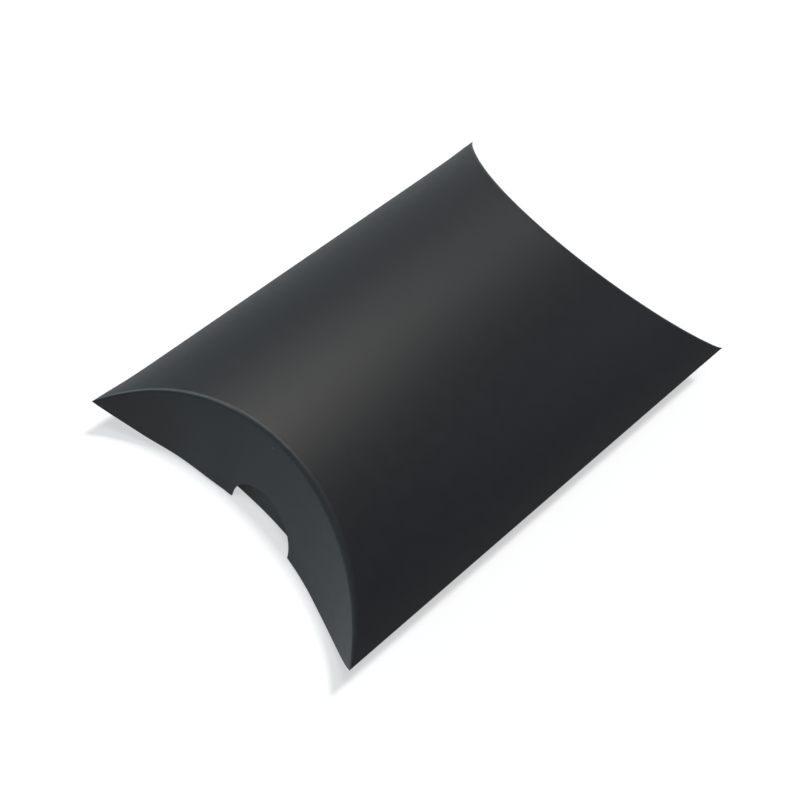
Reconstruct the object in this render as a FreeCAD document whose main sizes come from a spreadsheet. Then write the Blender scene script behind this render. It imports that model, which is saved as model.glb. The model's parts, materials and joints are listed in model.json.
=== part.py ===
import FreeCAD, Part
import math
import os
import Sketcher

# Pillow box of folded card: a sleeve of two bowed panels, closed at each end by two curved flaps.
# X runs along the box, Z is up, and the origin is on the floor under the middle of the box.
# Each end flap hinges on a crease that is a plane curve: it starts at the two corners of that
# end, level with the side folds, and runs inwards to the middle of the panel.

# Driving sizes in millimetres, and one angle in degrees
SIZES = (
    ("length", 115, "along a side fold, corner to corner"),
    ("width", 80, "across the side folds"),
    ("top_rise", 15, "side folds up to the ridge of the top panel"),
    ("top_inset", 17.5, "corners in to the middle of a top crease"),
    ("bottom_depth", 12, "side folds down to the floor"),
    ("bottom_inset", 13.7, "corners in to the middle of a bottom crease"),
    ("bottom_curve_run", 24, "side fold in to the strip of the bottom panel that lies on the floor"),
    ("board", 0.5, "thickness of the card"),
    ("fold_height", 0.8, "height of a side fold between the two panels"),
    ("side_fold_width", 1.2, "card turned round in the plain side fold"),
    ("seam_fold_width", 2.2, "card turned round in the glued side fold"),
    ("fold_end_gap", 3, "corner in to the end of a side fold"),
    ("hinge_gap", 0.5, "room along X between a crease and what turns on it"),
    ("flap_lean", 12, "degrees that a closed flap leans from upright"),
    ("outer_flap_lift", 0.9, "floor up to the free edge of an outer flap"),
    ("outer_flap_flat_width", 40, "straight middle of an outer flap's free edge"),
    ("notch_radius", 9.5, "thumb notch in an outer flap"),
    ("inner_flap_top_gap", 1.2, "top panel down to the free edge of an inner flap"),
    ("inner_flap_shoulder", 12, "floor up to the end of an inner flap's free edge"),
    ("inner_flap_side_gap", 5, "side fold in to the end of an inner flap"),
    ("glue_tab_reach", 13, "seam fold in to the edge of the glue tab"),
    ("glue_tab_setback", 5, "bottom crease to the end of the glue tab"),
    ("glue_film", 0.2, "room for the glue under the tab"),
    ("glue_margin", 1.5, "edge of the tab to the edge of the glue"),
    ("glue_fit", 0.02, "glue to the card on each side"),
    ("cut_overrun", 10, "how far a cut runs past what it cuts"),
)
FRONT_TURN = 0
REAR_TURN = 180

doc = FreeCAD.newDocument("pillow_box")
sheet = doc.addObject("Spreadsheet::Sheet", "sizes")
for row, (alias, value, meaning) in enumerate(SIZES, start=1):
    sheet.set(f"A{row}", alias)
    sheet.set(f"B{row}", str(value))
    sheet.setAlias(f"B{row}", alias)
    sheet.set(f"C{row}", meaning)
doc.recompute()

# Sizes that several pieces share, as formulas on the sheet
HALF_WIDTH = "sizes.width / 2"
HALF_LENGTH = "sizes.length / 2"
FOLD_HALF = "sizes.fold_height / 2"
FLAT_HALF = "(sizes.width / 2 - sizes.bottom_curve_run)"
OUTER_EDGE_FLAT_HALF = "sizes.outer_flap_flat_width / 2"
INNER_FLAP_HALF = "(sizes.width / 2 - sizes.inner_flap_side_gap)"
OVERALL_HEIGHT = "(sizes.bottom_depth + sizes.top_rise)"
FLAP_RUN = f"({OVERALL_HEIGHT} + sizes.cut_overrun) / cos(sizes.flap_lean * 1 deg)"
HALF_PANEL_RUN = f"{HALF_LENGTH} + sizes.cut_overrun"
PANEL_PAD_RUN = f"{HALF_LENGTH} + 2 * sizes.cut_overrun"
CUT_RUN = "2 * sizes.length"
PAST_SIDE = f"({HALF_WIDTH} + sizes.cut_overrun)"

# In the plane of each crease: how far it climbs, and its angle from upright
TOP_SLOPE = "sqrt(sizes.top_inset ^ 2 + sizes.top_rise ^ 2)"
TOP_TILT = "atan(sizes.top_inset / sizes.top_rise)"
TOP_STRETCH = f"({TOP_SLOPE} / sizes.top_rise)"
BOTTOM_SLOPE = "sqrt(sizes.bottom_inset ^ 2 + sizes.bottom_depth ^ 2)"
BOTTOM_TILT = "180 deg - atan(sizes.bottom_inset / sizes.bottom_depth)"
BOTTOM_STRETCH = f"({BOTTOM_SLOPE} / sizes.bottom_depth)"

# The top crease is one arc, and the bottom crease is a straight with an arc at each end
TOP_RADIUS = f"(((sizes.width / 2) ^ 2 + {TOP_SLOPE} ^ 2) / (2 * {TOP_SLOPE}))"
BOTTOM_RADIUS = f"((sizes.bottom_curve_run ^ 2 + {BOTTOM_SLOPE} ^ 2) / (2 * {BOTTOM_SLOPE}))"
FREE_EDGE_DROP = "(sizes.bottom_depth - sizes.outer_flap_lift)"
FREE_EDGE_RADIUS = (
    f"((({HALF_WIDTH} - {OUTER_EDGE_FLAT_HALF}) ^ 2 + {FREE_EDGE_DROP} ^ 2) / (2 * {FREE_EDGE_DROP}))"
)
INNER_TOP = f"({OVERALL_HEIGHT} - sizes.board - sizes.inner_flap_top_gap)"
INNER_TOP_DROP = f"({INNER_TOP} - sizes.inner_flap_shoulder)"
INNER_TOP_RADIUS = f"(({INNER_FLAP_HALF} ^ 2 + {INNER_TOP_DROP} ^ 2) / (2 * {INNER_TOP_DROP}))"

# Which way a path turns along an arc
LEFT = 1
RIGHT = -1

# A sketch tilts about its own X. A rotation of no degrees has no axis, so it starts at some tilt
SKETCH_X = FreeCAD.Vector(1, 0, 0)
START_TILT = 1


def origin_plane(body, role):
    """Give one of a body's own origin planes."""
    return next(feature for feature in body.Origin.OriginFeatures if feature.Role == role)


def add_sketch(body, name, role, shift=(0, 0, 0), tilt=None):
    """Add a sketch on an origin plane, shifted by formulas in its own frame and tilted about its X."""
    sketch = body.newObject("Sketcher::SketchObject", f"{body.Name}_{name}")
    sketch.AttachmentSupport = [(origin_plane(body, role), "")]
    sketch.MapMode = "FlatFace"
    if tilt is not None:
        start_turn = FreeCAD.Rotation(SKETCH_X, START_TILT)
        sketch.AttachmentOffset = FreeCAD.Placement(FreeCAD.Vector(), start_turn)
        sketch.setExpression("AttachmentOffset.Rotation.Angle", tilt)
    for axis, formula in zip("xyz", shift):
        if formula:
            sketch.setExpression(f"AttachmentOffset.Base.{axis}", formula)
    return sketch


def arc_between(start, end, radius, turn):
    """Make the arc under a half turn from start to end that turns left or right."""
    chord = end - start
    square = max(radius ** 2 - (chord.Length / 2) ** 2, 0)
    side = FreeCAD.Vector(-chord.y, chord.x, 0).normalize() * turn
    centre = start + chord / 2 + side * math.sqrt(square)
    first, last = (start, end) if turn == LEFT else (end, start)
    angles = [math.atan2(point.y - centre.y, point.x - centre.x) for point in (first, last)]
    circle = Part.Circle(centre, FreeCAD.Vector(0, 0, 1), radius)
    return Part.ArcOfCircle(circle, *angles)


def draw_outline(sketch, corners):
    """Draw a closed outline whose corners and radii are formulas.

    Each corner is (x, y), or (x, y, radius, turn) where an arc leaves it for the next corner.
    """
    points = []
    for corner in corners:
        coordinates = [float(sketch.evalExpression(formula)) for formula in corner[:2]]
        points.append(FreeCAD.Vector(*coordinates, 0))
    ends = []
    for index, corner in enumerate(corners):
        start, end = points[index], points[(index + 1) % len(points)]
        if len(corner) == 2:
            edge = sketch.addGeometry(Part.LineSegment(start, end))
            ends.append((edge, 1, 2))
            continue
        radius_formula, turn = corner[2:]
        radius = float(sketch.evalExpression(radius_formula))
        edge = sketch.addGeometry(arc_between(start, end, radius, turn))
        ends.append((edge, 1, 2) if turn == LEFT else (edge, 2, 1))
        limit = sketch.addConstraint(Sketcher.Constraint("Radius", edge, radius))
        sketch.setExpression(f"Constraints[{limit}]", radius_formula)
    for index, corner in enumerate(corners):
        edge, first, _ = ends[index]
        before, _, last = ends[index - 1]
        sketch.addConstraint(Sketcher.Constraint("Coincident", before, last, edge, first))
        for kind, formula, value in zip(("DistanceX", "DistanceY"), corner, points[index]):
            limit = sketch.addConstraint(Sketcher.Constraint(kind, edge, first, value))
            sketch.setExpression(f"Constraints[{limit}]", formula)


def add_feature(body, kind, name, sketch, length, direction=None, symmetric=False):
    """Pad or pocket a sketch, square to it or along a direction given as three formulas."""
    feature = body.newObject(f"PartDesign::{kind}", f"{body.Name}_{name}")
    feature.Profile = sketch
    feature.setExpression("Length", length)
    if symmetric:
        feature.SideType = "Symmetric"
    if direction is not None:
        feature.UseCustomVector = True
        feature.AlongSketchNormal = False
        for axis, formula in zip("xyz", direction):
            feature.setExpression(f"Direction.{axis}", formula)
    return feature


def mirror_ends(body, features):
    """Repeat the front end's features at the rear end."""
    mirror = body.newObject("PartDesign::Mirrored", f"{body.Name}_mirror")
    mirror.Originals = features
    mirror.MirrorPlane = (origin_plane(body, "YZ_Plane"), [""])
    body.Tip = mirror


ALONG = ("1", "0", "0")
UPRIGHT = ("0", "0", "1")
DOWN_OUTER_FLAP = ("-sin(sizes.flap_lean * 1 deg)", "0", "-cos(sizes.flap_lean * 1 deg)")
UP_INNER_FLAP = ("sin(sizes.flap_lean * 1 deg)", "0", "cos(sizes.flap_lean * 1 deg)")


def top_crease_sketch(body, name, setback="0"):
    """Sketch in the plane of the front top crease: X across the box, Y up the crease."""
    shift = (None, "sizes.bottom_depth", f"{setback} - {HALF_LENGTH}")
    return add_sketch(body, name, "YZ_Plane", shift, TOP_TILT)


def bottom_crease_sketch(body, name, setback="0"):
    """Sketch in the plane of the front bottom crease: X across the box, Y down the crease."""
    shift = (None, "sizes.bottom_depth", f"{setback} - {HALF_LENGTH}")
    return add_sketch(body, name, "YZ_Plane", shift, BOTTOM_TILT)


def top_curve_half(radius, level):
    """Half the width of an arc about the top crease's centre, at a level in the crease's plane."""
    return f"sqrt(({radius}) ^ 2 - ({level} + {TOP_RADIUS} - {TOP_SLOPE}) ^ 2)"


def bottom_curve_half(radius, level):
    """The same for the bottom crease, whose arcs start at the edges of its straight."""
    return f"{FLAT_HALF} + sqrt(({radius}) ^ 2 - ({level} + {BOTTOM_RADIUS} - {BOTTOM_SLOPE}) ^ 2)"


def bottom_curve_level(radius, across):
    """Level of an arc about a bottom crease's centre, at a place across the box."""
    return f"{BOTTOM_SLOPE} - {BOTTOM_RADIUS} + sqrt(({radius}) ^ 2 - ({across} - {FLAT_HALF}) ^ 2)"


def draw_top_section(sketch):
    """Draw the top card's thickness along the crease, from side fold to side fold."""
    level = f"{FOLD_HALF} * {TOP_STRETCH}"
    inner_radius = f"({TOP_RADIUS} - sizes.board * {TOP_STRETCH})"
    outer_half = top_curve_half(TOP_RADIUS, level)
    inner_half = top_curve_half(inner_radius, level)
    draw_outline(sketch, [
        (f"-({outer_half})", level, TOP_RADIUS, RIGHT),
        (outer_half, level),
        (inner_half, level, inner_radius, LEFT),
        (f"-({inner_half})", level),
    ])


def draw_bottom_section(sketch):
    """Draw the bottom card's thickness along the crease, from side fold to side fold."""
    level = f"{FOLD_HALF} * {BOTTOM_STRETCH}"
    card = f"sizes.board * {BOTTOM_STRETCH}"
    inner_radius = f"({BOTTOM_RADIUS} - {card})"
    outer_half = bottom_curve_half(BOTTOM_RADIUS, level)
    inner_half = bottom_curve_half(inner_radius, level)
    draw_outline(sketch, [
        (f"-({outer_half})", level, BOTTOM_RADIUS, RIGHT),
        (f"-{FLAT_HALF}", BOTTOM_SLOPE),
        (FLAT_HALF, BOTTOM_SLOPE, BOTTOM_RADIUS, RIGHT),
        (outer_half, level),
        (inner_half, level, inner_radius, LEFT),
        (FLAT_HALF, f"{BOTTOM_SLOPE} - {card}"),
        (f"-{FLAT_HALF}", f"{BOTTOM_SLOPE} - {card}", inner_radius, LEFT),
        (f"-({inner_half})", level),
    ])


def draw_seam_strip(sketch, inner_edge, outside, inside):
    """Draw a strip that lies inside the bottom card at the seam, between two depths from its outside."""
    level = f"{FOLD_HALF} * {BOTTOM_STRETCH}"
    outer_radius = f"({BOTTOM_RADIUS} - ({outside}) * {BOTTOM_STRETCH})"
    inner_radius = f"({BOTTOM_RADIUS} - ({inside}) * {BOTTOM_STRETCH})"
    draw_outline(sketch, [
        (inner_edge, bottom_curve_level(outer_radius, inner_edge), outer_radius, RIGHT),
        (bottom_curve_half(outer_radius, level), level),
        (bottom_curve_half(inner_radius, level), level, inner_radius, LEFT),
        (inner_edge, bottom_curve_level(inner_radius, inner_edge)),
    ])


def beyond_corners(far, near="0"):
    """Close an outline that ends at the corners with a wide block, out to a level given as a formula."""
    return [(PAST_SIDE, near), (PAST_SIDE, far), (f"-{PAST_SIDE}", far), (f"-{PAST_SIDE}", near)]


def make_top_panel():
    """The top panel: its ends are cut straight down along the creases, so they have no overhang."""
    body = doc.addObject("PartDesign::Body", "top_panel")
    section = top_crease_sketch(body, "section", "-sizes.cut_overrun")
    draw_top_section(section)
    pad = add_feature(body, "Pad", "pad", section, PANEL_PAD_RUN, ALONG)
    outside = top_crease_sketch(body, "outside", "sizes.hinge_gap")
    draw_outline(outside, [
        (f"-{HALF_WIDTH}", "0", TOP_RADIUS, RIGHT),
        (HALF_WIDTH, "0"),
        *beyond_corners(f"-2 * sizes.cut_overrun * {TOP_STRETCH}"),
    ])
    cut = add_feature(body, "Pocket", "cut", outside, CUT_RUN, UPRIGHT, symmetric=True)
    mirror_ends(body, [pad, cut])
    return body


def make_bottom_panel():
    """The bottom panel, cut at its creases like the top one."""
    body = doc.addObject("PartDesign::Body", "bottom_panel")
    section = bottom_crease_sketch(body, "section", "-sizes.cut_overrun")
    draw_bottom_section(section)
    pad = add_feature(body, "Pad", "pad", section, PANEL_PAD_RUN, ALONG)
    outside = bottom_crease_sketch(body, "outside", "sizes.hinge_gap")
    draw_outline(outside, [
        (f"-{HALF_WIDTH}", "0", BOTTOM_RADIUS, RIGHT),
        (f"-{FLAT_HALF}", BOTTOM_SLOPE),
        (FLAT_HALF, BOTTOM_SLOPE, BOTTOM_RADIUS, RIGHT),
        (HALF_WIDTH, "0"),
        *beyond_corners(f"-2 * sizes.cut_overrun * {BOTTOM_STRETCH}"),
    ])
    cut = add_feature(body, "Pocket", "cut", outside, CUT_RUN, UPRIGHT, symmetric=True)
    mirror_ends(body, [pad, cut])
    return body


def make_side_fold(name, side, fold_width):
    """A long fold: card turned round between the edges of the two panels, rounded outside."""
    body = doc.addObject("PartDesign::Body", name)
    sketch = add_sketch(body, "section", "YZ_Plane", (None, "sizes.bottom_depth", None))
    inner_edge = f"{side} * ({HALF_WIDTH} - {fold_width})"
    round_start = f"{side} * ({HALF_WIDTH} - {FOLD_HALF})"
    draw_outline(sketch, [
        (inner_edge, FOLD_HALF),
        (inner_edge, f"-{FOLD_HALF}"),
        (round_start, f"-{FOLD_HALF}", FOLD_HALF, side),
        (f"{side} * {HALF_WIDTH}", "0", FOLD_HALF, side),
        (round_start, FOLD_HALF),
    ])
    add_feature(body, "Pad", "pad", sketch, "sizes.length - 2 * sizes.fold_end_gap", symmetric=True)
    return body


def make_seam_piece(name, inner_edge, outside, inside, setback):
    """A strip along the inside of the seam, with its ends parallel to the bottom creases."""
    body = doc.addObject("PartDesign::Body", name)
    section = bottom_crease_sketch(body, "section", setback)
    draw_seam_strip(section, inner_edge, outside, inside)
    pad = add_feature(body, "Pad", "pad", section, HALF_PANEL_RUN, ALONG)
    mirror_ends(body, [pad])
    return body


def make_outer_flap(name, turn):
    """An outer flap: down from the top crease, with a thumb notch in its free edge."""
    body = doc.addObject("PartDesign::Body", name)
    section = top_crease_sketch(body, "section")
    draw_top_section(section)
    add_feature(body, "Pad", "pad", section, FLAP_RUN, DOWN_OUTER_FLAP)
    edge = add_sketch(body, "free_edge", "YZ_Plane")
    draw_outline(edge, [
        (f"-{HALF_WIDTH}", "sizes.bottom_depth", FREE_EDGE_RADIUS, LEFT),
        (f"-{OUTER_EDGE_FLAT_HALF}", "sizes.outer_flap_lift"),
        ("-sizes.notch_radius", "sizes.outer_flap_lift", "sizes.notch_radius", RIGHT),
        ("0", "sizes.outer_flap_lift + sizes.notch_radius", "sizes.notch_radius", RIGHT),
        ("sizes.notch_radius", "sizes.outer_flap_lift"),
        (OUTER_EDGE_FLAT_HALF, "sizes.outer_flap_lift", FREE_EDGE_RADIUS, LEFT),
        (HALF_WIDTH, "sizes.bottom_depth"),
        *beyond_corners(f"-({OVERALL_HEIGHT} + sizes.cut_overrun)", "sizes.bottom_depth"),
    ])
    add_feature(body, "Pocket", "cut", edge, CUT_RUN, symmetric=True)
    body.Placement.Rotation = FreeCAD.Rotation(FreeCAD.Vector(0, 0, 1), turn)
    return body


def make_inner_flap(name, turn):
    """An inner flap: up from the bottom crease, just inside the outer flap."""
    body = doc.addObject("PartDesign::Body", name)
    section = bottom_crease_sketch(body, "section")
    draw_bottom_section(section)
    add_feature(body, "Pad", "pad", section, FLAP_RUN, UP_INNER_FLAP)
    # The flap starts clear of the bottom panel's inside, so that it can turn inwards
    root = bottom_crease_sketch(body, "root")
    clear = f"(sizes.board + sizes.hinge_gap) * {BOTTOM_STRETCH}"
    clear_radius = f"({BOTTOM_RADIUS} - {clear})"
    clear_half = bottom_curve_half(clear_radius, "0")
    draw_outline(root, [
        (f"-({clear_half})", "0", clear_radius, RIGHT),
        (f"-{FLAT_HALF}", f"{BOTTOM_SLOPE} - {clear}"),
        (FLAT_HALF, f"{BOTTOM_SLOPE} - {clear}", clear_radius, RIGHT),
        (clear_half, "0"),
        *beyond_corners(f"{BOTTOM_SLOPE} + sizes.cut_overrun"),
    ])
    add_feature(body, "Pocket", "root_cut", root, CUT_RUN, ALONG, symmetric=True)
    edge = add_sketch(body, "free_edge", "YZ_Plane")
    draw_outline(edge, [
        (f"-{INNER_FLAP_HALF}", "sizes.inner_flap_shoulder", INNER_TOP_RADIUS, RIGHT),
        (INNER_FLAP_HALF, "sizes.inner_flap_shoulder"),
        (INNER_FLAP_HALF, "-sizes.cut_overrun"),
        *beyond_corners(f"2 * ({OVERALL_HEIGHT} + sizes.cut_overrun)", "-sizes.cut_overrun"),
        (f"-{INNER_FLAP_HALF}", "-sizes.cut_overrun"),
    ])
    add_feature(body, "Pocket", "cut", edge, CUT_RUN, symmetric=True)
    body.Placement.Rotation = FreeCAD.Rotation(FreeCAD.Vector(0, 0, 1), turn)
    return body


tab_edge = f"({HALF_WIDTH} - sizes.glue_tab_reach)"
glue_edge = f"({HALF_WIDTH} - sizes.glue_tab_reach + sizes.glue_margin)"
pieces = [
    make_top_panel(),
    make_bottom_panel(),
    make_side_fold("side_fold", RIGHT, "sizes.side_fold_width"),
    make_side_fold("seam_fold", LEFT, "sizes.seam_fold_width"),
    make_seam_piece("glue_tab", tab_edge, "sizes.board + sizes.glue_film",
                    "2 * sizes.board + sizes.glue_film", "sizes.glue_tab_setback"),
    make_seam_piece("glue_line", glue_edge, "sizes.board + sizes.glue_fit",
                    "sizes.board + sizes.glue_film - sizes.glue_fit",
                    "sizes.glue_tab_setback + sizes.glue_margin"),
    make_outer_flap("front_outer_flap", FRONT_TURN),
    make_inner_flap("front_inner_flap", FRONT_TURN),
    make_outer_flap("rear_outer_flap", REAR_TURN),
    make_inner_flap("rear_inner_flap", REAR_TURN),
]
doc.recompute()

# Nothing is written unless every feature worked and every cut removed something
for item in doc.Objects:
    if "Invalid" in item.State or "Error" in item.State:
        raise RuntimeError(f"{item.Name} failed: {item.State}")
    if item.TypeId == "PartDesign::Pocket" and item.Shape.Volume >= item.BaseFeature.Shape.Volume:
        raise RuntimeError(f"{item.Name} cut nothing")
for piece in pieces:
    if piece.Shape.isNull() or not piece.Shape.isValid() or len(piece.Shape.Solids) != 1:
        raise RuntimeError(f"{piece.Label} is not one valid solid")

os.makedirs("parts", exist_ok=True)
for piece in pieces:
    piece.Shape.exportStep(f"parts/{piece.Label}.step")
    print(f"{piece.Label}: {piece.Shape.Volume:.1f} mm3")
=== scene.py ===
import json
import math

import bmesh
import bpy
import numpy as np
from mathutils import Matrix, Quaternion, Vector


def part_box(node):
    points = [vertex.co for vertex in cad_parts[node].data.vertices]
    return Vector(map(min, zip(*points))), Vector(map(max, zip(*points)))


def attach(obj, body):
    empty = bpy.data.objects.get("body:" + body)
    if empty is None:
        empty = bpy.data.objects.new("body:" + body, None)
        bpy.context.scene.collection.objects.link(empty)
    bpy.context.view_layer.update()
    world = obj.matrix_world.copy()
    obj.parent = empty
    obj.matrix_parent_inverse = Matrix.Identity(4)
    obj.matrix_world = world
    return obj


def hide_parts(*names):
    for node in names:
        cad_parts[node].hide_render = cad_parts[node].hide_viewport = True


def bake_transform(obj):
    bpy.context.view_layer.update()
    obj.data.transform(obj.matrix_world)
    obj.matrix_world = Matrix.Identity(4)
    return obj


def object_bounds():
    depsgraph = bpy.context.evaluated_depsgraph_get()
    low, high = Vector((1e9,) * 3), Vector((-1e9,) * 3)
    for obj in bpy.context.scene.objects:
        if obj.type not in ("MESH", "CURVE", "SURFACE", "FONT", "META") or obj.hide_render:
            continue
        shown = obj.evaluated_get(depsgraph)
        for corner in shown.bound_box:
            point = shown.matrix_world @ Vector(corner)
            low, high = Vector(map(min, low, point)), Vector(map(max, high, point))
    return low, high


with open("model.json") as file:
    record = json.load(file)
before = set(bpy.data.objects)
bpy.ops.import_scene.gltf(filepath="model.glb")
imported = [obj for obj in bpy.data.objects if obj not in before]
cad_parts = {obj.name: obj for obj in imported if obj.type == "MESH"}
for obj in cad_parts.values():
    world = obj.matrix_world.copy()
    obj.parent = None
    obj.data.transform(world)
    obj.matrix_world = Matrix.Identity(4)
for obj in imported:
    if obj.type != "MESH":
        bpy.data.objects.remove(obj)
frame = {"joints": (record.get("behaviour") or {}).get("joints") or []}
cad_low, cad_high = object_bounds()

# A pillow box of matte black card, in metres, in the frame of the solids: X along the box, Z up.
# Every card piece is a bent sheet with real thickness: a grid of points on its outside, the same
# grid set back by the card's thickness, and a softened cut edge all round.
MM = 0.001
BOARD = 0.5 * MM
FRONT = -1
REAR = 1

# Sizes of the solids that their boxes and hinges give
joints = {joint["name"]: joint for joint in frame["joints"]}
OUTER_HINGE = Vector(joints["rear_outer_flap_hinge"]["pos_m"])
INNER_HINGE = Vector(joints["rear_inner_flap_hinge"]["pos_m"])
fold_low, fold_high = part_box("side_fold")
tab_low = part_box("glue_tab")[0]
SIDE_Y = cad_high.y
TOP_Z = cad_high.z
FOLD_Z = (fold_low.z + fold_high.z) / 2

# Sizes that a box can't give
FOLD_END_GAP = 3 * MM
FLAP_LEAN = math.radians(12)
BOTTOM_CURVE_RUN = 24 * MM
OUTER_EDGE_LIFT = 0.9 * MM
OUTER_EDGE_FLAT_HALF = 20 * MM
NOTCH_RADIUS = 9.5 * MM
INNER_TOP_GAP = 1.2 * MM
INNER_SHOULDER = 12 * MM
INNER_SIDE_GAP = 5 * MM
INNER_CORNER_RADIUS = 2 * MM
GLUE_FILM = 0.2 * MM
GLUE_MARGIN = 1.5 * MM
GLUE_WAVER = 0.6 * MM
GLUE_WAVE = 3.1 * MM
GLUE_BEAT = 7.3 * MM
TAB_SETBACK = 5 * MM

# The two crease curves, each an arc in its own slanting plane
CORNER_X = fold_high.x + FOLD_END_GAP
TOP_RISE = TOP_Z - FOLD_Z
TOP_INSET = CORNER_X - OUTER_HINGE.x
TOP_SLOPE = math.hypot(TOP_INSET, TOP_RISE)
TOP_RADIUS = (SIDE_Y ** 2 + TOP_SLOPE ** 2) / (2 * TOP_SLOPE)
BOTTOM_INSET = CORNER_X - INNER_HINGE.x - INNER_HINGE.z * math.tan(FLAP_LEAN)
BOTTOM_SLOPE = math.hypot(BOTTOM_INSET, FOLD_Z)
BOTTOM_RADIUS = (BOTTOM_CURVE_RUN ** 2 + BOTTOM_SLOPE ** 2) / (2 * BOTTOM_SLOPE)
FLAT_HALF = SIDE_Y - BOTTOM_CURVE_RUN

# Rounding of the folds and softening of the cut edges
CREASE_RADIUS = 1.0 * MM
CREASE_SWELL = {FRONT: 0.33 * MM, REAR: 0.5 * MM}
SOFT_CREASE_RADIUS = 1.9 * MM
SOFT_CREASE_Y = -8 * MM
SOFT_CREASE_REACH = 8 * MM
BOTTOM_SWELL = 0.2 * MM
BOTTOM_BOW = 0.85 * MM
SIDE_RADIUS = 0.45 * MM
FOLD_TUCK = 0.1 * MM
TIP_GAP = 0.06 * MM
TIP_PINCH = 2 * MM
THINNEST_TIP = 0.1
SEAM_GAP = 0.05 * MM
RIM_BULGE = 0.06 * MM
RIM_STEPS = 5
RIM_SQUARENESS = 0.55

# How finely the sheets are divided
ACROSS_STEPS = 120
ALONG_STEPS = 90
WING_STEPS = ACROSS_STEPS // 2
STRIP_STEPS = ACROSS_STEPS // 4
NOTCH_STEPS = 36
ARC_STEPS = 12
FLAP_STEPS = 30

# How the photographed flap sits: further out on one half, slightly askew, and rippled near one tip
PHOTO_LEAN_MEAN = 0.2 * MM
PHOTO_LEAN_SWING = 0.8 * MM
PHOTO_LEAN_TURN_Y = 8 * MM
PHOTO_LEAN_REACH = 14 * MM
PHOTO_SKEW = 0.9 * MM
PHOTO_RIPPLE = 0.35 * MM
PHOTO_RIPPLE_Y = 20 * MM
PHOTO_RIPPLE_HALF = 12 * MM

# How far the tips of the photographed box are drawn out along X and Y: end, side and shift of each
DRAWN_TIPS = (
    (FRONT, 1, (-0.35 * MM, 0.55 * MM, 0)),
    (REAR, 1, (-0.1 * MM, 0.35 * MM, 0)),
    (REAR, -1, (0.15 * MM, -0.05 * MM, 0)),
)
DRAWN_TIP_REACH = 7 * MM

# How strongly a curved crease holds an inner flap back
INNER_HOLD = 1.2

# How the folds are paler: rubbed, and with a painted highlight in a band along each crease, mostly towards
# one side
WEAR_AND_HIGHLIGHT_MIDDLE_SHARE = 0.38
HIGHLIGHT_START_Y = 12 * MM
HIGHLIGHT_FADE = 6 * MM
LEAST_WEAR = 0.12
SIDE_WEAR = 0.3

# Slight unevenness of the top panel: waves along it, across it and aslant
WAVE_HEIGHT = 0.07 * MM
WAVE_X = 13 * MM
WAVE_Y = 11 * MM
WAVE_SLANT = 19 * MM
SLANT_SHARE = 0.6

# Numbers of the colour sockets of a mix node
MIX_FIRST = 6
MIX_SECOND = 7
MIX_RESULT = 2

# The photograph's width in pixels, and how far from the box the lamps hang
PHOTO_WIDTH = 800
HALF_PIXEL = 0.5 / PHOTO_WIDTH
LAMP_DISTANCE = 0.7


def top_height(y):
    """Height of the top panel's outside across the box."""
    return FOLD_Z + (np.sqrt(TOP_RADIUS ** 2 - y ** 2) - TOP_RADIUS + TOP_SLOPE) * TOP_RISE / TOP_SLOPE


def bottom_height(y):
    """Height of the bottom panel's outside across the box."""
    past = np.maximum(np.abs(y) - FLAT_HALF, 0)
    level = BOTTOM_SLOPE - BOTTOM_RADIUS + np.sqrt(BOTTOM_RADIUS ** 2 - past ** 2)
    return FOLD_Z - level * FOLD_Z / BOTTOM_SLOPE


def top_crease(y, end):
    """How far along X the top crease lies from the middle of the box.

    It swells a little, so that its rounding reaches as far out as the sharp edge of the solid.
    """
    swell = CREASE_SWELL[end] * (1 - (y / SIDE_Y) ** 2)
    return CORNER_X - (top_height(y) - FOLD_Z) * TOP_INSET / TOP_RISE + swell


def bottom_crease(y):
    """How far along X the bottom crease lies from the middle of the box.

    It bows out on both sides of its middle, so that it curves all the way as in the photograph.
    """
    bow = BOTTOM_BOW * np.sin(math.pi * y / SIDE_Y) ** 2 + BOTTOM_SWELL * (1 - (y / SIDE_Y) ** 2)
    return CORNER_X - (FOLD_Z - bottom_height(y)) * BOTTOM_INSET / FOLD_Z + bow


def outer_edge_height(y):
    """Height of an outer flap's free edge without its notch: straight, with arcs up to the corners."""
    drop = FOLD_Z - OUTER_EDGE_LIFT
    run = SIDE_Y - OUTER_EDGE_FLAT_HALF
    radius = (run ** 2 + drop ** 2) / (2 * drop)
    past = np.maximum(np.abs(y) - OUTER_EDGE_FLAT_HALF, 0)
    return OUTER_EDGE_LIFT + radius - np.sqrt(radius ** 2 - past ** 2)


def notch_height(y):
    """How far the thumb notch cuts into an outer flap's free edge."""
    return np.sqrt(np.maximum(NOTCH_RADIUS ** 2 - y ** 2, 0))


def inner_edge_height(y):
    """Height of an inner flap's free edge: one arc, rounded off at its ends."""
    half = SIDE_Y - INNER_SIDE_GAP
    middle = TOP_Z - BOARD - INNER_TOP_GAP
    drop = middle - INNER_SHOULDER
    radius = (half ** 2 + drop ** 2) / (2 * drop)
    past = np.maximum(np.abs(y) - half + INNER_CORNER_RADIUS, 0)
    corner = INNER_CORNER_RADIUS - np.sqrt(np.maximum(INNER_CORNER_RADIUS ** 2 - past ** 2, 0))
    return middle - radius + np.sqrt(radius ** 2 - y ** 2) - corner


def draw_tips(points):
    """Move the points near the drawn-out tips of the box."""
    moved = points.copy()
    for end, side, shift in DRAWN_TIPS:
        tip = np.array([end * CORNER_X, side * SIDE_Y, FOLD_Z])
        distance = np.linalg.norm(points - tip, axis=-1, keepdims=True)
        moved += np.array(shift) * np.exp(-(distance / DRAWN_TIP_REACH) ** 2)
    return moved


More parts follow.
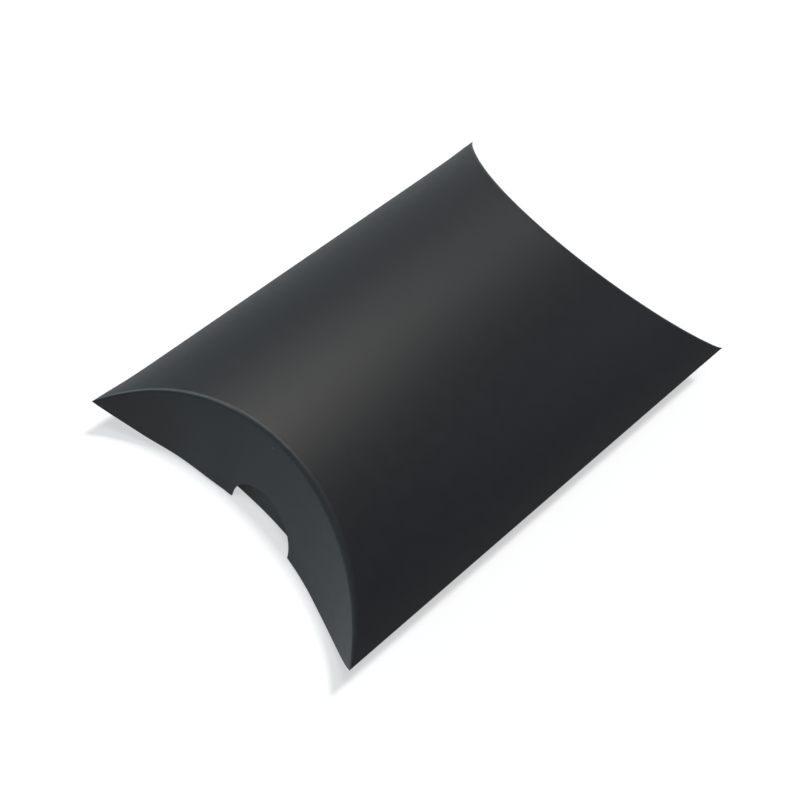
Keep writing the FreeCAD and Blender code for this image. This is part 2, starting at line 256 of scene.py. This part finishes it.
def grid_normals(points, hint):
    """Unit normals of a grid of points, on the side that a hint points to."""
    normals = np.cross(np.gradient(points, axis=0), np.gradient(points, axis=1))
    normals /= np.linalg.norm(normals, axis=2, keepdims=True)
    middle = normals[normals.shape[0] // 2, normals.shape[1] // 2]
    return normals if np.dot(middle, hint) > 0 else -normals


def grid_border(rows, columns):
    """Numbers of a grid's border points, in order round it."""
    index = np.arange(rows * columns).reshape(rows, columns)
    return np.concatenate([index[0, :-1], index[:-1, -1], index[-1, :0:-1], index[:0:-1, 0]])


def add_sheet(node, outside, hint, thickness, flat, wear_and_highlight, swing=None):
    """Make a closed sheet in the place of a solid, from a grid of points on its outside.

    flat, the paleness grid and swing are grids too: a place on the flat sheet, how pale the card is made
    there by rubbing and by a painted crease highlight, and how far a point turns with a flap.
    """
    rows, columns = outside.shape[:2]
    outside = draw_tips(outside)
    normals = grid_normals(outside, hint)
    inside = outside - normals * thickness
    border = grid_border(rows, columns)
    flat_outside = outside.reshape(-1, 3)
    half = (flat_outside - inside.reshape(-1, 3))[border] / 2
    middle = flat_outside[border] - half
    outward = np.cross(np.roll(middle, -1, axis=0) - np.roll(middle, 1, axis=0), half)
    outward /= np.linalg.norm(outward, axis=1, keepdims=True)
    if np.sum(outward * (middle - middle.mean(axis=0))) < 0:
        outward = -outward
    rims = []
    for angle in np.linspace(0, math.pi, RIM_STEPS + 2)[1:-1]:
        level = math.copysign(abs(math.cos(angle)) ** RIM_SQUARENESS, math.cos(angle))
        rims.append(middle + half * level + outward * RIM_BULGE * math.sin(angle) ** RIM_SQUARENESS)
    vertices = np.concatenate([flat_outside, inside.reshape(-1, 3), *rims])

    size = rows * columns
    index = np.arange(size).reshape(rows, columns)
    quad_corners = [index[:-1, :-1], index[:-1, 1:], index[1:, 1:], index[1:, :-1]]
    quads = np.stack(quad_corners, axis=-1).reshape(-1, 4)
    loops = [border]
    loops += [2 * size + step * len(border) + np.arange(len(border)) for step in range(RIM_STEPS)]
    loops += [border + size]
    bands = []
    for first, second in zip(loops, loops[1:]):
        bands.append(np.stack([first, second, np.roll(second, -1), np.roll(first, -1)], axis=-1))
    faces = np.concatenate([quads, quads[:, ::-1] + size, *bands])

    mesh = bpy.data.meshes.new(f"{node}_sheet")
    mesh.from_pydata(vertices.tolist(), [], faces.tolist())
    fill_mesh_data(mesh, border, size, flat, wear_and_highlight, swing)
    piece = bpy.data.objects.new(f"{node}_sheet", mesh)
    bpy.context.scene.collection.objects.link(piece)
    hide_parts(node)
    return piece


def fill_mesh_data(mesh, border, size, flat, wear_and_highlight, swing):
    """Turn the faces outwards, split the shading at the cut edges, and store what the card needs."""
    sharp = {frozenset(pair) for pair in zip(border.tolist(), np.roll(border, -1).tolist())}
    sharp |= {frozenset(number + size for number in pair) for pair in sharp}
    work = bmesh.new()
    work.from_mesh(mesh)
    bmesh.ops.recalc_face_normals(work, faces=work.faces)
    for face in work.faces:
        face.smooth = True
    for edge in work.edges:
        edge.smooth = frozenset(vertex.index for vertex in edge.verts) not in sharp
    work.to_mesh(mesh)
    work.free()

    def to_vertices(grid):
        values = grid.reshape(size, -1)
        return np.concatenate([values, values, *[values[border]] * RIM_STEPS])

    corners = np.zeros(len(mesh.loops), dtype=np.int32)
    mesh.loops.foreach_get("vertex_index", corners)
    layer = mesh.uv_layers.new(name="sheet")
    layer.uv.foreach_set("vector", to_vertices(flat)[corners].astype(np.float32).ravel())
    # The paleness grid holds rubbing and a painted crease highlight
    for name, grid in (("wear_and_highlight", wear_and_highlight), ("swing", swing)):
        if grid is not None:
            attribute = mesh.attributes.new(name, "FLOAT", "POINT")
            attribute.data.foreach_set("value", to_vertices(grid).astype(np.float32).ravel())


def fillet(corner, arrive, leave, radius, steps):
    """Points of an arc that rounds a corner between two unit directions, in a plane."""
    turn = math.acos(max(-1, min(1, arrive.dot(leave))))
    start = corner - arrive * radius * math.tan(turn / 2)
    side = leave - arrive * arrive.dot(leave)
    side.normalize()
    angles = [turn * step / steps for step in range(steps + 1)]
    return [start + arrive * radius * math.sin(a) + side * radius * (1 - math.cos(a)) for a in angles]


def side_directions():
    """Directions, across and up, down the top panel to the side fold and on down the bottom panel."""
    top_steepness = SIDE_Y / math.sqrt(TOP_RADIUS ** 2 - SIDE_Y ** 2) * TOP_RISE / TOP_SLOPE
    bottom_reach = math.sqrt(BOTTOM_RADIUS ** 2 - BOTTOM_CURVE_RUN ** 2)
    bottom_steepness = BOTTOM_CURVE_RUN / bottom_reach * FOLD_Z / BOTTOM_SLOPE
    return Vector((1, -top_steepness)).normalized(), Vector((-1, -bottom_steepness)).normalized()


DOWN_TOP, DOWN_BOTTOM = side_directions()
SIDE_ARC = fillet(Vector((SIDE_Y, FOLD_Z)), DOWN_TOP, DOWN_BOTTOM, SIDE_RADIUS, ARC_STEPS)
TOP_EDGE_Y = SIDE_ARC[0].x
BOTTOM_EDGE_Y = SIDE_ARC[-1].x
OUTER_TURN = math.pi / 2 - FLAP_LEAN
INNER_TURN = math.pi / 2 + FLAP_LEAN


def outer_flap_run(y):
    """Length of an outer flap from its crease to its free edge, as if it had no notch."""
    return (top_height(y) - outer_edge_height(y)) / math.cos(FLAP_LEAN)


def inner_flap_run(y):
    """Length of an inner flap from its crease to its free edge."""
    return (inner_edge_height(y) - bottom_height(y)) / math.cos(FLAP_LEAN)


def crease_setback(radius, turn, flap_run):
    """How far before its sharp corner a crease starts to round: less where the flap is short."""
    share_of_flap = 0.4
    blend_power = -3
    full = radius * math.tan(turn / 2)
    return (full ** blend_power + (share_of_flap * flap_run) ** blend_power) ** (1 / blend_power)


def top_crease_radius(y, end):
    """Rounding of a top crease: at the front, tight on one half and softer on the other."""
    if end == REAR:
        return CREASE_RADIUS
    soft = (1 - np.tanh((y - SOFT_CREASE_Y) / SOFT_CREASE_REACH)) / 2
    return CREASE_RADIUS + (SOFT_CREASE_RADIUS - CREASE_RADIUS) * soft


def top_panel_edge(y, end):
    """Where the top panel ends and a rounded crease starts."""
    return top_crease(y, end) - crease_setback(top_crease_radius(y, end), OUTER_TURN, outer_flap_run(y))


def bottom_panel_edge(y, _end):
    """Where the bottom panel ends, alike at both ends: shorter behind an inner flap's rounded crease."""
    rounded = CREASE_RADIUS * math.tan(INNER_TURN / 2)
    inside_flap = np.abs(y) < SIDE_Y - INNER_SIDE_GAP
    return bottom_crease(y) - np.where(inside_flap, rounded, rounded / 2)


def card_thickness(x, y):
    """Thickness of the card: thinner where it is pinched together at the four tips."""
    away_from_tip = CORNER_X - np.abs(x) + SIDE_Y - np.abs(y)
    return BOARD * np.clip(away_from_tip / TIP_PINCH, THINNEST_TIP, 1)[..., None]


def gentle_wave(x, y, reach_x, reach_y):
    """Slight unevenness of a panel, none at its edges."""
    fade_x, fade_y = 4, 6
    start_x, start_y = 0.6, 0.3
    fade = (1 - (x / reach_x) ** fade_x) * (1 - (y / reach_y) ** fade_y)
    upright = np.sin(x / WAVE_X + start_x) * np.sin(y / WAVE_Y + start_y)
    slanting = SLANT_SHARE * np.sin((x + 2 * y) / WAVE_SLANT)
    return fade * (upright + slanting)


def make_panel(node, height, edge_x, low_y, high_y, hint, wave_height):
    """Make a bowed panel that runs along X between its two creases."""
    y = np.linspace(low_y, high_y, ACROSS_STEPS + 1)
    share = np.linspace(-1, 1, ALONG_STEPS + 1)
    reach = np.where(share[:, None] < 0, edge_x(y, FRONT), edge_x(y, REAR))
    x = share[:, None] * reach
    y = np.broadcast_to(y, x.shape)
    points = np.stack([x, y, height(y) + wave_height * gentle_wave(x, y, reach, SIDE_Y)], axis=-1)
    flat = np.stack([x, y], axis=-1)
    return add_sheet(node, points, hint, card_thickness(x, y), flat, np.zeros_like(x))


def make_side_fold(node, side, steps):
    """Make a long fold: a strip of card turned round from the top panel towards the bottom one.

    steps is how much of the whole turn it makes, out of ARC_STEPS.
    """
    arc = np.array([tuple(point) for point in SIDE_ARC[:steps + 1]])
    middle = ARC_STEPS // 2
    rise = np.maximum(arc[:, 1] - FOLD_Z, 0) * TOP_INSET / TOP_RISE
    drop = np.maximum(FOLD_Z - arc[:, 1], 0) * BOTTOM_INSET / FOLD_Z
    end_x = CORNER_X - rise - drop - FOLD_TUCK
    share = np.linspace(-1, 1, ALONG_STEPS + 1)
    x = end_x[:, None] * share[None, :]
    y = np.broadcast_to(arc[:, :1] * side, x.shape)
    z = np.broadcast_to(arc[:, 1:], x.shape)
    points = np.stack([x, y, z], axis=-1)
    flat = np.stack([x, y + z], axis=-1)
    wear_and_highlight = SIDE_WEAR * (1 - np.abs(np.arange(len(arc)) - middle) / middle)
    wear_and_highlight = np.broadcast_to(wear_and_highlight[:, None], x.shape)
    return add_sheet(node, points, (0, side, 0), card_thickness(x, y), flat, wear_and_highlight)


def flap_rows(end, crease_x, crease_z, setback, turn, upright, run):
    """Give the grid of a flap: rounded crease first, then straight on to the free edge."""
    radius = setback / math.tan(turn / 2)
    x, z, past = [], [], []
    for angle in np.linspace(0, turn, ARC_STEPS + 1):
        x.append(crease_x - setback + radius * math.sin(angle))
        z.append(crease_z + upright * radius * (1 - math.cos(angle)))
        past.append(setback * angle / turn)
    for share in np.linspace(0, 1, FLAP_STEPS + 1)[1:]:
        distance = setback + (run - setback) * share
        x.append(crease_x + distance * math.cos(turn))
        z.append(crease_z + upright * distance * math.sin(turn))
        past.append(distance)
    return end * np.array(x), np.array(z), np.array(past)


def outer_swing(x, z, past, crease_x, crease_z):
    """Share of the hinge's turn that each point of an outer flap takes.

    The crease stays on its panel. When the hinge has turned by as much as the crease was folded,
    the flap goes straight on from its panel.
    """
    rest = np.arctan2(np.abs(x) - OUTER_HINGE.x, OUTER_HINGE.z - z)
    unfolded = np.arctan2(crease_x + past - OUTER_HINGE.x, OUTER_HINGE.z - crease_z)
    swing = np.clip((unfolded - rest) / OUTER_TURN, 0, 1)
    round_end = swing[ARC_STEPS]
    rise = np.linspace(0, 1, ARC_STEPS + 1)[:, None]
    swing[:ARC_STEPS + 1] = round_end * rise ** 2
    return swing


def inner_swing(past, crease_x, crease_z):
    """Share of the hinge's turn that each point of an inner flap takes: none at its crease."""
    hold = INNER_HOLD * np.hypot(crease_x - INNER_HINGE.x, crease_z - INNER_HINGE.z)
    return past / (past + hold)


def crease_wear_and_highlight(past, setback, y):
    """Paleness on the upper part of a flap's rounded crease: rubbing, and a painted highlight on one side.
    """
    near_crease = np.clip(1 - np.abs(past / setback / WEAR_AND_HIGHLIGHT_MIDDLE_SHARE - 1), 0, 1)
    highlighted_side = (1 + np.tanh((y - HIGHLIGHT_START_Y) / HIGHLIGHT_FADE)) / 2
    return near_crease * (LEAST_WEAR + (1 - LEAST_WEAR) * highlighted_side)


def photo_lean(y):
    """How much further out the photographed flap's free edge stands: twisted, and a little rippled."""
    early_fade, late_fade = 4, 12
    fade = 1 - np.abs(y / SIDE_Y) ** np.where(y > 0, early_fade, late_fade)
    twist = PHOTO_LEAN_MEAN - PHOTO_LEAN_SWING * np.tanh((y - PHOTO_LEAN_TURN_Y) / PHOTO_LEAN_REACH)
    along = np.clip((y - PHOTO_RIPPLE_Y) / PHOTO_RIPPLE_HALF, -1, 1)
    ripple = PHOTO_RIPPLE * np.sin(math.pi * along) * (1 - along ** 2)
    return fade * twist - ripple


def make_outer_flap(end_name, end):
    """Make an outer flap: down from the top crease, with the thumb notch in its free edge."""
    notch = NOTCH_RADIUS * np.sin(np.linspace(-math.pi / 2, math.pi / 2, NOTCH_STEPS + 1))
    wing = np.linspace(NOTCH_RADIUS, SIDE_Y - TIP_GAP, WING_STEPS + 1)[1:]
    y = np.concatenate([-wing[::-1], notch, wing])
    run = outer_flap_run(y)
    setback = crease_setback(top_crease_radius(y, end), OUTER_TURN, run)
    crease_x, crease_z = top_crease(y, end), top_height(y)
    cut_run = run - notch_height(y) / math.cos(FLAP_LEAN)
    x, z, past = flap_rows(end, crease_x, crease_z, setback, OUTER_TURN, -1, cut_run)
    y = np.broadcast_to(y, x.shape)
    if end == FRONT:
        share = past / run
        x = x - share * photo_lean(y)
        y = y - share * PHOTO_SKEW * (1 - (y / SIDE_Y) ** 2)
    points = np.stack([x, y, z], axis=-1)
    flat = np.stack([end * (np.broadcast_to(crease_x, x.shape) + past), y], axis=-1)
    # Paleness along the crease: a little rubbing and a painted highlight
    wear_and_highlight = crease_wear_and_highlight(past, setback, y)
    swing = outer_swing(x, z, past, crease_x, crease_z)
    thickness = card_thickness(x, y)
    piece = add_sheet(f"{end_name}_outer_flap", points, (end, 0, 0), thickness, flat, wear_and_highlight, swing)
    hang_flap(piece)
    return piece


def make_inner_flap(end_name, end):
    """Make an inner flap: up from the bottom crease, just inside the outer flap."""
    half = SIDE_Y - INNER_SIDE_GAP
    y = half * np.sin(np.linspace(-math.pi / 2, math.pi / 2, ACROSS_STEPS + 1))
    run = inner_flap_run(y)
    setback = crease_setback(CREASE_RADIUS, INNER_TURN, run)
    crease_x, crease_z = bottom_crease(y), bottom_height(y)
    x, z, past = flap_rows(end, crease_x, crease_z, setback, INNER_TURN, 1, run)
    y = np.broadcast_to(y, x.shape)
    points = np.stack([x, y, z], axis=-1)
    flat = np.stack([end * (np.broadcast_to(crease_x, x.shape) + past), y], axis=-1)
    swing = inner_swing(past, crease_x, crease_z)
    # Paleness along the crease: a little rubbing and a painted highlight
    wear_and_highlight = crease_wear_and_highlight(past, setback, y)
    piece = add_sheet(f"{end_name}_inner_flap", points, (end, 0, 0), BOARD, flat, wear_and_highlight, swing)
    hang_flap(piece)
    return piece


def hang_flap(piece):
    """Bake a flap's place into its mesh, and read the shares of the hinge's turn stored on its points."""
    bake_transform(piece)
    swing = np.zeros(len(piece.data.vertices), dtype=np.float32)
    piece.data.attributes["swing"].data.foreach_get("value", swing)


def make_seam_strip(node, low_y, high_y, depth, thickness, end_gap, waver):
    """Make a strip that lies inside the bottom panel along the glued seam."""
    y = np.linspace(low_y, high_y, STRIP_STEPS + 1)
    share = np.linspace(-1, 1, ALONG_STEPS + 1)
    x = share[:, None] * (bottom_crease(y) - end_gap)[None, :]
    bend = np.linspace(0, 1, len(y)) - 1
    y = y[None, :] + bend[None, :] * waver * np.sin(x / GLUE_WAVE) * np.sin(x / GLUE_BEAT + 1)
    points = np.stack([x, y, bottom_height(y)], axis=-1)
    points -= grid_normals(points, (0, 0, -1)) * depth
    flat = np.stack([x, y], axis=-1)
    return add_sheet(node, points, (0, 0, -1), thickness, flat, np.zeros_like(x))


def socket_link(tree, start, start_name, end, end_name):
    """Join two nodes' sockets by name."""
    tree.links.new(start.outputs[start_name], end.inputs[end_name])


def noise_node(tree, place, scale, detail):
    """Add a noise texture that reads a place, with its scale per millimetre."""
    noise = tree.nodes.new("ShaderNodeTexNoise")
    noise.inputs["Scale"].default_value = scale
    noise.inputs["Detail"].default_value = detail
    tree.links.new(place, noise.inputs["Vector"])
    return noise.outputs["Fac"]


def mix_colour(tree, factor, first, second):
    """Mix two colours, each a plain colour or another node's output."""
    mix = tree.nodes.new("ShaderNodeMix")
    mix.data_type = "RGBA"
    tree.links.new(factor, mix.inputs["Factor"])
    for socket, colour in ((mix.inputs[MIX_FIRST], first), (mix.inputs[MIX_SECOND], second)):
        if isinstance(colour, tuple):
            socket.default_value = (*colour, 1)
        else:
            tree.links.new(colour, socket)
    return mix.outputs[MIX_RESULT]


def map_range(tree, value, low, high, to_low, to_high):
    """Map one range of values to another, and stay within it."""
    node = tree.nodes.new("ShaderNodeMapRange")
    tree.links.new(value, node.inputs["Value"])
    for name, number in (("From Min", low), ("From Max", high), ("To Min", to_low), ("To Max", to_high)):
        node.inputs[name].default_value = number
    return node.outputs["Result"]


def math_node(tree, operation, first, second):
    """Join two values, each a number or another node's output."""
    node = tree.nodes.new("ShaderNodeMath")
    node.operation = operation
    for socket, value in zip(node.inputs, (first, second)):
        if isinstance(value, (int, float)):
            socket.default_value = value
        else:
            tree.links.new(value, socket)
    return node.outputs["Value"]


def new_material(name):
    """Add a material with nodes, and give its node tree and its shader."""
    material = bpy.data.materials.new(name)
    material.use_nodes = True
    return material, material.node_tree, material.node_tree.nodes["Principled BSDF"]


def sheet_place(tree, stretch):
    """Give a place on the flat sheet, in millimetres, stretched along the card's grain."""
    uv = tree.nodes.new("ShaderNodeUVMap")
    uv.uv_map = "sheet"
    scale = tree.nodes.new("ShaderNodeMapping")
    scale.inputs["Scale"].default_value = (1 / MM / stretch, 1 / MM, 1)
    socket_link(tree, uv, "UV", scale, "Vector")
    return scale.outputs["Vector"]


def add_wear_and_highlight(tree, place, colour):
    """Make a colour paler where the sheet is rubbed and where a crease highlight is painted, and give that
    amount too.
    """
    # Pale grey of rubbed card, also the colour of the painted crease highlight
    rubbed_and_highlight_grey = (0.115, 0.115, 0.115)
    deepest = 0.6
    attribute = tree.nodes.new("ShaderNodeAttribute")
    attribute.attribute_name = "wear_and_highlight"
    patches = noise_node(tree, place, scale=0.25, detail=5)
    patch_strength = map_range(tree, patches, low=0.3, high=0.7, to_low=0.5, to_high=1)
    wear_and_highlight_amount = math_node(tree, "MULTIPLY", attribute.outputs["Fac"], patch_strength)
    return mix_colour(tree, math_node(tree, "MULTIPLY", wear_and_highlight_amount, deepest), colour, rubbed_and_highlight_grey), wear_and_highlight_amount


def add_dust(tree, place, colour):
    """Put a few specks of dust on a colour: one in some of the cells of a pattern."""
    dust_grey = (0.18, 0.18, 0.18)
    thickest = 0.6
    bare_share = 0.72
    cells = tree.nodes.new("ShaderNodeTexVoronoi")
    cells.inputs["Scale"].default_value = 0.14
    tree.links.new(place, cells.inputs["Vector"])
    near = map_range(tree, cells.outputs["Distance"], low=0.012, high=0.02, to_low=1, to_high=0)
    split = tree.nodes.new("ShaderNodeSeparateColor")
    socket_link(tree, cells, "Color", split, "Color")
    chosen = math_node(tree, "GREATER_THAN", split.outputs["Red"], bare_share)
    speck = math_node(tree, "MULTIPLY", near, chosen)
    return mix_colour(tree, math_node(tree, "MULTIPLY", speck, thickest), colour, dust_grey)


def add_bump(tree, shader, height, strength, distance):
    """Make a shader's surface uneven."""
    bump = tree.nodes.new("ShaderNodeBump")
    bump.inputs["Strength"].default_value = strength
    bump.inputs["Distance"].default_value = distance
    tree.links.new(height, bump.inputs["Height"])
    socket_link(tree, bump, "Normal", shader, "Normal")


def make_card():
    """Matte black card: dyed fibres, soft sheen, rubbed folds with painted crease highlights, specks of
    dust.
    """
    black = (0.0098, 0.011, 0.0123)
    soft_black = (0.0124, 0.0138, 0.0152)
    pale_fibre = (0.026, 0.026, 0.027)
    grain_stretch = 4
    wear_and_highlight_roughness = 0.05
    mottle_height = 0.5
    material, tree, shader = new_material("black_card")
    place = sheet_place(tree, 1)
    mottle = noise_node(tree, place, scale=0.35, detail=4)
    fibre = noise_node(tree, sheet_place(tree, grain_stretch), scale=7, detail=3)
    fibre_shows = map_range(tree, fibre, low=0.58, high=0.75, to_low=0, to_high=0.4)
    colour = mix_colour(tree, mottle, black, soft_black)
    colour = mix_colour(tree, fibre_shows, colour, pale_fibre)
    colour, wear_and_highlight_amount = add_wear_and_highlight(tree, place, colour)
    colour = add_dust(tree, place, colour)
    tree.links.new(colour, shader.inputs["Base Color"])

    rough = map_range(tree, mottle, low=0.3, high=0.7, to_low=0.44, to_high=0.49)
    rough = math_node(tree, "ADD", rough, math_node(tree, "MULTIPLY", wear_and_highlight_amount, wear_and_highlight_roughness))
    tree.links.new(rough, shader.inputs["Roughness"])
    shader.inputs["Specular IOR Level"].default_value = 0.12
    height = math_node(tree, "ADD", fibre, math_node(tree, "MULTIPLY", mottle, mottle_height))
    add_bump(tree, shader, height, strength=0.12, distance=0.03 * MM)
    return material


def make_glue():
    """Dried carton glue: pale, a little glossy, uneven."""
    amber = (0.52, 0.47, 0.36)
    cream = (0.68, 0.63, 0.52)
    material, tree, shader = new_material("carton_glue")
    cloud = noise_node(tree, sheet_place(tree, 1), scale=0.6, detail=4)
    tree.links.new(mix_colour(tree, cloud, amber, cream), shader.inputs["Base Color"])
    shader.inputs["Roughness"].default_value = 0.35
    add_bump(tree, shader, cloud, strength=0.3, distance=0.05 * MM)
    return material


def make_white(name, glow_share):
    """White paper that takes shadows; where it is looked at, a share of it is plain white."""
    paper_white = (0.9, 0.9, 0.9, 1)
    plain_white = (1, 1, 1, 1)
    material, tree, shader = new_material(name)
    tree.nodes.remove(shader)
    paper = tree.nodes.new("ShaderNodeBsdfDiffuse")
    paper.inputs["Color"].default_value = paper_white
    glow = tree.nodes.new("ShaderNodeEmission")
    glow.inputs["Color"].default_value = plain_white
    seen = tree.nodes.new("ShaderNodeLightPath")
    rays = math_node(tree, "MAXIMUM", seen.outputs["Is Camera Ray"], seen.outputs["Is Glossy Ray"])
    rays = math_node(tree, "MAXIMUM", rays, seen.outputs["Is Transmission Ray"])
    mix = tree.nodes.new("ShaderNodeMixShader")
    tree.links.new(math_node(tree, "MULTIPLY", rays, glow_share), mix.inputs["Fac"])
    tree.links.new(paper.outputs["BSDF"], mix.inputs[1])
    tree.links.new(glow.outputs["Emission"], mix.inputs[2])
    tree.links.new(mix.outputs["Shader"], tree.nodes["Material Output"].inputs["Surface"])
    return material


def add_stage(name, corners, faces, material):
    """Add a piece of the surroundings."""
    mesh = bpy.data.meshes.new(name)
    mesh.from_pydata(corners, [], faces)
    mesh.materials.append(material)
    piece = bpy.data.objects.new(name, mesh)
    bpy.context.scene.collection.objects.link(piece)
    return piece


def make_surroundings():
    """A wide white floor that keeps the box's shadow, and a white backdrop all round it."""
    half = 3
    backdrop_height = 1.25
    square = [(-half, -half), (half, -half), (half, half), (-half, half)]
    low = [(x, y, 0) for x, y in square]
    high = [(x, y, backdrop_height) for x, y in square]
    walls = [(0, 1, 5, 4), (1, 2, 6, 5), (2, 3, 7, 6), (3, 0, 4, 7)]
    add_stage("floor", low, [(0, 1, 2, 3)], make_white("white_floor", glow_share=0.55))
    backdrop = add_stage("backdrop", low + high, walls, make_white("white_backdrop", glow_share=1))
    backdrop.visible_diffuse = False
    backdrop.visible_shadow = False


def make_world():
    """A dim, slightly cool room."""
    world = bpy.data.worlds.new("dim_room")
    bpy.context.scene.world = world
    world.use_nodes = True
    cool_grey = (0.17, 0.185, 0.21, 1)
    background = world.node_tree.nodes["Background"]
    background.inputs["Color"].default_value = cool_grey
    background.inputs["Strength"].default_value = 1


def add_softbox(name, towards, size, brightness, colour, sheen):
    """Hang a soft light that faces the box. It shows only as sheen on the card, or else only lights it."""
    light = bpy.data.lights.new(name, "AREA")
    light.shape = "RECTANGLE"
    light.size, light.size_y = size
    light.color = colour
    light.energy = brightness * math.pi * size[0] * size[1]
    lamp = bpy.data.objects.new(name, light)
    direction = Vector(towards).normalized()
    lamp.location = direction * LAMP_DISTANCE
    lamp.rotation_euler = direction.to_track_quat("Z", "Y").to_euler()
    lamp.visible_diffuse = not sheen
    lamp.visible_glossy = sheen
    bpy.context.scene.collection.objects.link(lamp)


def add_overhead(name, towards, spread, brightness):
    """Light everything from far overhead, with soft shadows and no mirror image on the card."""
    light = bpy.data.lights.new(name, "SUN")
    light.energy = brightness * math.pi
    light.angle = spread
    lamp = bpy.data.objects.new(name, light)
    lamp.rotation_euler = Vector(towards).to_track_quat("Z", "Y").to_euler()
    lamp.visible_glossy = False
    bpy.context.scene.collection.objects.link(lamp)


def make_lights():
    """Soft light from overhead, windows that show as sheen on the card, and a cool fill at the front."""
    add_overhead("overhead", (-0.06, -0.1, 1), spread=math.radians(12), brightness=0.27)
    add_overhead("overhead_rear", (0.27, -0.1, 1), spread=math.radians(7), brightness=0.73)
    wide = (0.3, 0.25)
    square = (0.2, 0.2)
    strip = (0.3, 0.08)
    add_softbox("window", (0, 0.5, 0.87), wide, brightness=35, colour=(1, 0.95, 0.88), sheen=True)
    add_softbox("far_window", (0.55, 0.47, 0.69), wide, brightness=6, colour=(1, 0.99, 0.98), sheen=True)
    add_softbox("side_window", (0.7, -0.33, 0.63), wide, brightness=3.4, colour=(0.85, 0.87, 1), sheen=True)
    add_softbox("edge_window", (-0.5, 0.84, 0.2), square, brightness=30, colour=(0.9, 0.95, 1), sheen=True)
    add_softbox("front_fill", (-0.58, 0.81, 0.065), strip, brightness=66, colour=(0.4, 0.9, 1), sheen=False)


def make_camera():
    """The photograph's view: from above, over the front end."""
    place = Vector((-131.28, -99.99, 265.71)) * MM
    aim = Vector((-11.72, -5.28, 20)) * MM
    roll = math.radians(9.32)
    data = bpy.data.cameras.new("camera")
    data.lens = 61.96
    data.sensor_width = 36
    data.shift_x = -HALF_PIXEL
    data.shift_y = HALF_PIXEL
    data.clip_start = 0.01
    data.clip_end = 20
    camera = bpy.data.objects.new("camera", data)
    camera.location = place
    camera.rotation_mode = "QUATERNION"
    turn = (aim - place).to_track_quat("-Z", "Y") @ Quaternion((0, 0, 1), roll)
    camera.rotation_quaternion = turn
    bpy.context.scene.collection.objects.link(camera)
    bpy.context.scene.camera = camera


def make_box():
    """Make every piece of the box, in the place of its solid."""
    card, glue = make_card(), make_glue()
    sleeve = [
        make_panel("top_panel", top_height, top_panel_edge, -TOP_EDGE_Y,
                   TOP_EDGE_Y, (0, 0, 1), WAVE_HEIGHT),
        make_panel("bottom_panel", bottom_height, bottom_panel_edge, -BOTTOM_EDGE_Y,
                   BOTTOM_EDGE_Y - SEAM_GAP, (0, 0, -1), 0),
        make_side_fold("side_fold", -1, ARC_STEPS),
        make_side_fold("seam_fold", 1, ARC_STEPS - 1),
    ]
    tab_end_y = SIDE_Y - 2 * BOARD
    film_end_y = SIDE_Y - 3 * BOARD
    tab_depth = BOARD + GLUE_FILM
    tab = make_seam_strip("glue_tab", tab_low.y, tab_end_y, tab_depth, BOARD, TAB_SETBACK, 0)
    film = make_seam_strip("glue_line", tab_low.y + GLUE_MARGIN, film_end_y, BOARD, GLUE_FILM,
                           TAB_SETBACK + GLUE_MARGIN, GLUE_WAVER)
    for piece in (*sleeve, tab, film):
        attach(piece, "sleeve")
    flaps = []
    for end_name, end in (("front", FRONT), ("rear", REAR)):
        flaps += [make_outer_flap(end_name, end), make_inner_flap(end_name, end)]
    for piece in (*sleeve, tab, *flaps):
        piece.data.materials.append(card)
    film.data.materials.append(glue)


make_box()
make_surroundings()
make_world()
make_lights()
make_camera()
bpy.context.scene.view_settings.view_transform = "Standard"
